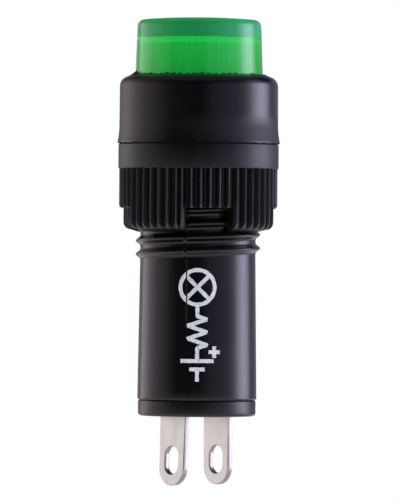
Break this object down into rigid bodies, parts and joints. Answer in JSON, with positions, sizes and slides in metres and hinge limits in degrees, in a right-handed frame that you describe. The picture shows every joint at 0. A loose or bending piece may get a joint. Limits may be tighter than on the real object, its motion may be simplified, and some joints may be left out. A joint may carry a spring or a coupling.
{
  "type": "panel pilot light",
  "caption": "Panel indicator lamp: round black head with a green lens, threaded barrel, ribbed castellated nut, end plug and slotted solder blades.",
  "frame": {"origin": "on the lamp's axis, in the plane of the head's underside that seats on the panel", "axes": "+Z out of the panel towards the lens, -Y towards the side that the picture shows, +X to its right"},
  "size_m": [0.0128, 0.0128, 0.0368],
  "materials": {
    "black_moulding": "satin",
    "green_lens": "polished acrylic with a frosted bore",
    "black_rubber": "matt",
    "plated_brass": "tin plated",
    "green_epoxy": "diffused epoxy",
    "lead_wire": "tinned",
    "die": "bright",
    "white_nylon": "matt",
    "resistor_coat": "lacquer",
    "sleeve_vinyl": "soft vinyl",
    "solder": "bright"
  },
  "bodies": {
    "lamp": {"housing": "black_moulding", "lens": "green_lens", "base_plug": "black_moulding", "terminal_positive": "plated_brass", "terminal_negative": "plated_brass", "led_body": "green_epoxy", "led_die": "die", "led_anode_lead": "lead_wire", "led_cathode_lead": "lead_wire", "led_holder": "white_nylon", "resistor_body": "resistor_coat", "resistor_upper_lead": "lead_wire", "resistor_lower_lead": "lead_wire", "positive_lead_sleeve": "sleeve_vinyl", "negative_lead_sleeve": "sleeve_vinyl", "splice_solder": "solder", "positive_solder": "solder", "negative_solder": "solder"},
    "gasket": {"gasket": "black_rubber"},
    "nut": {"mounting_nut": "black_moulding"}
  },
  "joints": [
    {"name": "gasket_slide", "type": "slide", "parent": "lamp", "child": "gasket", "axis": [0, 0, -1], "range_m": [0, 0.00742]},
    {"name": "nut_unscrew", "type": "hinge", "parent": "gasket", "child": "nut", "pos_m": [0, 0, -0.00346], "axis": [0, 0, -1], "range_deg": [0, 2520]}
  ],
  "couplings": [
    {"joint": "nut_unscrew", "follows": "gasket_slide", "rad_per_m": 5927.5}
  ]
}
